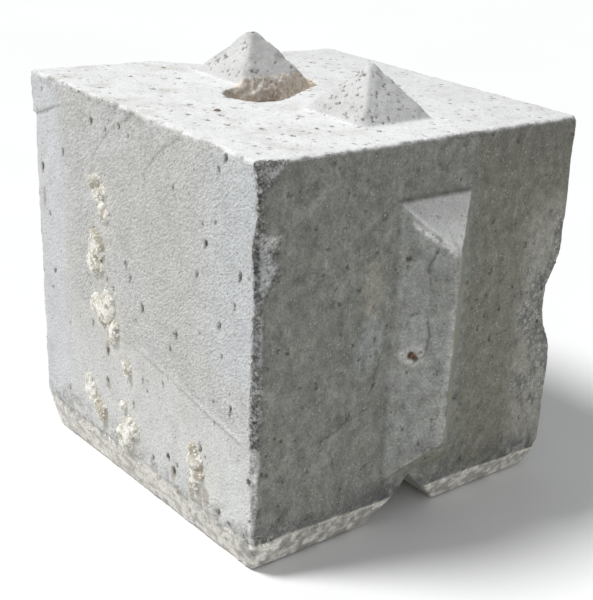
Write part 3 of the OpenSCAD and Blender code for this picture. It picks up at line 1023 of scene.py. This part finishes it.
def concrete_material():
    m = Nodes("cast_concrete")
    tone = m.attr("tone", "Color")
    broken = m.attr("broken")
    dark = m.attr("dark_face")
    ripple = m.attr("ripple")
    # cloudy cement skin at three sizes
    cloud = m.ramp(m.noise(22, 5, 0.6), (0.25, 0.88), (0.5, 1.0), (0.78, 1.09))
    col = m.mix(0.9, tone, cloud, "MULTIPLY")
    grain = m.noise(230, 4, 0.75)
    light_grain = m.ramp(grain, (0.30, 0.81), (0.5, 1.0), (0.70, 1.14))
    dark_grain = m.ramp(grain, (0.30, 0.67), (0.5, 1.0), (0.70, 1.33))
    col = m.mix(1.0, col, m.mix(dark, light_grain, dark_grain), "MULTIPLY")
    # stains run down the dark end, at the size of a hand and of a finger
    runs = m.noise(48, 4, 0.65, m.mapping("Scale", (1, 1, 0.85)))
    col = m.shade(dark, col, m.ramp(runs, (0.30, 0.74), (0.5, 1.0), (0.70, 1.26)))
    # trowelled ripples, with painted shade in their hollows
    turned = m.mapping("Rotation", (0, math.radians(35), 0))
    wavy = m.noise(125, 3, 0.6, m.mapping("Scale", (1, 1, 1.6), turned))
    col = m.shade(ripple, col, m.ramp(wavy, (0.30, 0.80), (0.5, 1.0), (0.66, 1.09)))
    # pores painted near-black as the shade inside them, and pale lime flecks on the darker end
    pore = m.voronoi(105, place=m.mapping("Scale", (1, 1, 0.8)))
    pore = m.ramp(pore, (0.08, 1.0), (0.17, 0.0))
    pore = m.times(pore, m.ramp(m.noise(40, 2), (0.45, 0.0), (0.55, 1.0)))
    col = m.mix(m.times(pore, 0.85), col, (0.08, 0.075, 0.065, 1))
    fleck = m.ramp(m.voronoi(120), (0.10, 1.0), (0.24, 0.0))
    fleck = m.times(fleck, m.ramp(m.noise(33, 3), (0.45, 0.0), (0.60, 1.0)))
    col = m.mix(m.times(m.times(fleck, dark), 0.55), col, (0.50, 0.50, 0.46, 1))
    # stones and sand where the skin is gone, lighter and darker than the paste
    stones = (1, 1, 1, 1)
    for scale, low, high in ((125, 0.55, 1.6), (300, 0.6, 1.5)):
        n = m.add("ShaderNodeSeparateColor")
        m.link(m.voronoi(scale, output="Color"), n.inputs[0])
        tones = m.ramp(n.outputs[0], (0.0, low), (0.45, 0.9), (0.8, high), (1.0, low))
        gap = m.ramp(m.voronoi(scale), (0.45, 1.0), (0.75, 0.6))
        stones = m.mix(1.0, m.mix(1.0, tones, gap, "MULTIPLY"), stones, "MULTIPLY")
    col = m.shade(broken, col, stones)
    fine = m.bump(m.noise(420, 5, 0.7), 0.0010, 0.6)
    wave = m.bump(m.times(wavy, ripple), 0.0072, 0.9, fine)
    pits = m.bump(pore, -0.0012, 0.7, wave)
    lumps = m.bump(m.times(m.voronoi(160), broken), -0.0050, 0.9, pits)
    return m.finish(col, m.ramp(m.noise(120, 3), (0.3, 0.80), (0.7, 0.96)), lumps)


def mortar_material():
    m = Nodes("splashed_mortar")
    sand = m.ramp(m.noise(420, 4, 0.7), (0.3, 0.72), (0.5, 1.0), (0.7, 1.16))
    col = m.mix(1.0, m.attr("tone", "Color"), sand, "MULTIPLY")
    dull = m.ramp(m.noise(200, 2), (0.3, 0.86), (0.7, 0.97))
    return m.finish(col, dull, m.bump(m.noise(500, 5, 0.7), 0.0012, 0.8))


def plain_mix(name, a, b, c, scale, rough, bump):
    """A mottled mineral or rusty surface from three tones."""
    m = Nodes(name)
    col = m.ramp(m.noise(scale, 6, 0.65), (0.30, a), (0.50, b), (0.72, c))
    sand = m.ramp(m.noise(scale * 7, 3, 0.7), (0.3, 0.72), (0.7, 1.2))
    dull = m.ramp(m.noise(scale * 2, 2), (0.3, rough - 0.08), (0.7, rough + 0.04))
    return m.finish(m.mix(0.8, col, sand, "MULTIPLY"), dull,
                    m.bump(m.noise(scale * 5, 5, 0.7), bump, 0.8))


# ---------------------------------------------------------------- small pieces
def give(ob, material, node):
    ob.data.materials.append(material)
    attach(ob, "root")
    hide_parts(node)


def local_nets(low, high, h, shape):
    """Meshes a small field of its own."""
    low, high = np.array(low, float), np.array(high, float)
    n = np.ceil((high - low) / h).astype(int) + 1
    axes = [low[k] + np.arange(n[k]) * h for k in range(3)]
    p = np.stack(np.meshgrid(*axes, indexing="ij"), -1).reshape(-1, 3).astype(np.float32)
    f = shape(p).reshape(n).astype(np.float32)
    return biggest_piece(*surface_nets(f, low, h))


# Round lumps of each splash: x, z, radius and height off the face.
SPLASHES = [
    [(-150, 594, 16, 8), (-132, 602, 18, 9), (-128, 575, 18, 10), (-112, 585, 16, 8)],
    [(-110, 553, 15, 8), (-104, 540, 16, 9), (-117, 541, 12, 7)],
    [(-138, 478, 26, 13), (-140, 460, 24, 14), (-125, 470, 20, 12), (-146, 492, 14, 8)],
    [(-150, 436, 24, 12), (-132, 434, 20, 12), (-146, 421, 12, 7)],
    [(-112, 350, 32, 14), (-140, 350, 24, 10), (-90, 366, 20, 10), (-118, 328, 20, 9),
     (-104, 380, 12, 7)],
    [(-80, 310, 22, 12), (-72, 326, 14, 8), (-85, 293, 12, 7)],
    [(-172, 158, 20, 9), (-178, 176, 12, 6), (-158, 146, 16, 8)],
    [(-130, 124, 20, 10), (-143, 134, 14, 7), (-126, 110, 12, 7)],
    [(-30, 258, 14, 7), (-28, 244, 12, 7), (-40, 262, 9, 5)],
    [(-30, 118, 26, 11), (-8, 128, 18, 8), (-22, 142, 14, 7), (-38, 94, 20, 9), (-50, 110, 16, 8)],
    [(204, 155, 24, 10), (196, 180, 14, 7), (215, 134, 18, 9), (200, 112, 16, 7)],
    [(-46, 166, 12, 6)]]


def build_splash(k, blobs, material):
    def crumbs(p):
        lump, _ = cells(p, 7.5, k)
        grit, _ = cells(p, 3.6, k + 20)
        return (3.2 * fbm(p, 12, 2, 100 + k) + 1.6 - np.maximum(3.2 - lump, 0) * 1.3
                - np.maximum(1.6 - grit, 0) * 0.9)

    def shape(p):
        f = np.full(len(p), 99, np.float32)
        for x, z, r, h in blobs:
            tall = h + 4.5
            rad = (r * r + tall * tall) / (2 * tall)
            c = vec(x, -HALF + rad - tall, z)
            f = smin(f, np.sqrt(((p - c) ** 2).sum(1)) - rad, 3)
        return np.maximum(f + crumbs(p), p[:, 1] + HALF - 7)
    low = (min(x - r for x, z, r, h in blobs) - 8, -HALF - 21,
           min(z - r for x, z, r, h in blobs) - 8)
    high = (max(x + r for x, z, r, h in blobs) + 8, -HALF + 10,
            max(z + r for x, z, r, h in blobs) + 8)
    verts, quads = local_nets(low, high, 1.15, shape)
    # the tallest lumps are pressed back to stay inside the CAD box
    deep = np.maximum(-HALF - 9 - verts[:, 1], 0)
    verts[:, 1] = np.where(deep > 0, -HALF - 9 - 4.8 * np.tanh(deep / 4.8), verts[:, 1])
    ob = mesh_object("mortar_splash_%d" % k, verts, quads)
    pv = verts.astype(np.float32)
    # the hollows between the crumbs are painted dark as shade
    deep = step(-0.5, 2.6, crumbs(pv) + 1.2 * fbm(pv, 6, 2, 140))
    tone = layered((0.90, 0.89, 0.83),
                   ((0.47, 0.43, 0.35), deep),
                   ((0.60, 0.58, 0.54), step(0.1, 0.7, fbm(pv, 20, 2, 141)) * 0.5))
    attribute(ob, "tone", tone)
    give(ob, material, "splash_%d" % k)


def build_fill(material):
    def shape(p):
        lump, _ = cells(p, 11, 5)
        top = FILL_Z + 2.5 * fbm(p, 40, 3, 121) + np.maximum(5.5 - lump, 0) * 0.8
        return np.maximum(pocket_distance(p) - 3, p[:, 2] - top)
    ob = mesh_object("pocket_earth", *local_nets((-180, -140, 648), (80, 100, 684), 2.4, shape))
    give(ob, material, "pocket_fill")


def sweep(name, points, radius, sides, wobble=0.0, seed=1):
    """A closed bar along points, with flat ends and a little scale on it."""
    rng = np.random.default_rng(seed)
    pts = [Vector(p) for p in points]
    verts, normal = [], None
    for i, p in enumerate(pts):
        t = (pts[min(i + 1, len(pts) - 1)] - pts[max(i - 1, 0)]).normalized()
        normal = normal or t.orthogonal().normalized()
        normal = (normal - t * normal.dot(t)).normalized()
        side = t.cross(normal)
        for k in range(sides):
            a = 2 * math.pi * k / sides
            r = radius * (1 - wobble * rng.random())
            verts.append(p + (normal * math.cos(a) + side * math.sin(a)) * r)
    last = (len(pts) - 1) * sides
    faces = []
    for i in range(0, last, sides):
        for k in range(sides):
            k2 = (k + 1) % sides
            faces.append((i + k, i + k2, i + sides + k2, i + sides + k))
    faces.append(tuple(reversed(range(sides))))
    faces.append(tuple(range(last, last + sides)))
    me = bpy.data.meshes.new(name)
    me.from_pydata([tuple(v) for v in np.array(verts, np.float32) * MM], [], faces)
    me.update()
    me.shade_smooth()
    return new_object(name, me)


def build_loop(material):
    """Half of the bar, from its foot to the crown, and its mirror image."""
    x0, y0 = -50.0, -20.0
    crown, crown_r, foot_z, bend, run = 680.0, 40.0, 350.0, 40.0, 80.0
    half = [(crown_r + bend + run, foot_z)]
    half += [(crown_r + bend + run * (1 - t), foot_z) for t in np.linspace(0.08, 1, 12)]
    half += [(crown_r + bend - bend * math.sin(t), foot_z + bend - bend * math.cos(t))
             for t in np.radians(np.linspace(5, 90, 12))]
    half += [(crown_r, z) for z in np.linspace(foot_z + bend + 6, crown, 60)]
    half += [(crown_r * math.cos(t), crown + crown_r * math.sin(t))
             for t in np.radians(np.linspace(3, 90, 20))]
    other = [(-y, z) for y, z in reversed(half[:-1])]
    pts = [(x0, y + y0, z) for y, z in half + other]
    give(sweep("lifting_bar", pts, 8.0, 28, 0.05, 3), material, "lifting_loop")


def build_nail(material):
    """Its end shows in the tongue's flank; it dips into the concrete."""
    end = np.array([410.1, -50.6, 365.0])
    flank, dip = math.atan2(TONGUE_OUT, TONGUE_W / 2), math.radians(35)
    out = np.array([math.cos(flank), -math.sin(flank), 0])
    along = -out * math.cos(dip) - np.array([0, 0, 1]) * math.sin(dip)
    pts = [tuple(end + along * t) for t in (3.2, 4.2, 6, 9, 14, 22, 32, 44, 56, 62)]
    give(sweep("form_nail_bar", pts, 2.45, 14, 0.12, 9), material, "form_nail")


def build_stone(material):
    centre = vec(58, -238, 753.5)

    def shape(p):
        d = (p - centre) / vec(1, 0.95, 0.95)
        return np.sqrt((d ** 2).sum(1)) - 8.6 + 1.0 * fbm(p, 9, 2, 130)
    ob = mesh_object("pressed_stone", *local_nets(centre - 12, centre + 12, 0.8, shape))
    give(ob, material, "top_stone")


# ---------------------------------------------------------------- scene
concrete = concrete_material()
mortar = mortar_material()
earth = plain_mix("pocket_soil", (0.16, 0.12, 0.09), (0.33, 0.27, 0.21), (0.50, 0.45, 0.38),
                  80, 0.95, 0.002)
rust = plain_mix("bar_rust", (0.10, 0.045, 0.025), (0.24, 0.12, 0.07), (0.36, 0.22, 0.14),
                 120, 0.85, 0.0006)
pebble = plain_mix("brown_stone", (0.13, 0.09, 0.075), (0.21, 0.165, 0.145), (0.30, 0.26, 0.24),
                   150, 0.8, 0.0004)

give(build_block(), concrete, "concrete_block")
for number, blobs in enumerate(SPLASHES, 1):
    build_splash(number, blobs, mortar)
build_fill(earth)
build_loop(rust)
build_nail(rust)
build_stone(pebble)


def floor():
    me = bpy.data.meshes.new("studio_floor")
    s = 30.0
    me.from_pydata([(-s, -s, 0), (s, -s, 0), (s, s, 0), (-s, s, 0)], [], [(0, 1, 2, 3)])
    m = Nodes("pale_floor")
    m.link(m.ramp(m.noise(0.6, 2), (0.3, 0.90), (0.7, 0.92)), m.bsdf.inputs["Base Color"])
    m.bsdf.inputs["Roughness"].default_value = 0.95
    m.bsdf.inputs["Specular IOR Level"].default_value = 0.1
    me.materials.append(m.mat)
    new_object("studio_floor", me)


def sun(name, to_light, strength, angle):
    data = bpy.data.lights.new(name, "SUN")
    data.energy = strength
    data.angle = math.radians(angle)
    new_object(name, data).rotation_euler = \
        Vector(to_light).to_track_quat("Z", "Y").to_euler()


def low_panel():
    """A weak soft panel, low on the tongue-end side, for the bevel there."""
    data = bpy.data.lights.new("low_panel", "AREA")
    data.shape = "RECTANGLE"
    data.size, data.size_y = 1.6, 0.35
    data.energy = 3.2
    ob = new_object("low_panel", data)
    place, aim = Vector((1.25, 0.30, 0.12)), Vector((0.37, 0.12, 0.0))
    ob.location = place
    ob.rotation_euler = (place - aim).to_track_quat("Z", "Y").to_euler()
    ob.visible_camera = False


# The camera fitted to the photo, from corners of the block.
FOCAL_PER_WIDTH = 1314.6 / 600
AZIMUTH, ELEVATION, ROLL = 51.36, 21.05, 2.26
AIM, DISTANCE = (0, 0.0079, 0.3235), 2.7007


def camera():
    data = bpy.data.cameras.new("view")
    data.sensor_width = 36
    data.lens = FOCAL_PER_WIDTH * data.sensor_width
    az, el, roll = (math.radians(v) for v in (AZIMUTH, ELEVATION, ROLL))
    back = Vector((math.sin(az) * math.cos(el), -math.cos(az) * math.cos(el), math.sin(el)))
    right = Vector((math.cos(az), math.sin(az), 0))
    up = back.cross(right)
    r = right * math.cos(roll) + up * math.sin(roll)
    u = up * math.cos(roll) - right * math.sin(roll)
    m = Matrix((r, u, back)).transposed().to_4x4()
    m.translation = Vector(AIM) + back * DISTANCE
    ob = new_object("view", data)
    ob.matrix_world = m
    bpy.context.scene.camera = ob


floor()
sun("key_sun", (-0.31, -0.46, 0.83), 2.85, 18)
low_panel()
camera()
world = bpy.data.worlds.new("soft_room")
bpy.context.scene.world = world
world.use_nodes = True
sky = world.node_tree.nodes["Background"].inputs
sky["Color"].default_value = (0.97, 0.985, 1.0, 1)
sky["Strength"].default_value = 0.35
bpy.context.scene.view_settings.view_transform = "Standard"
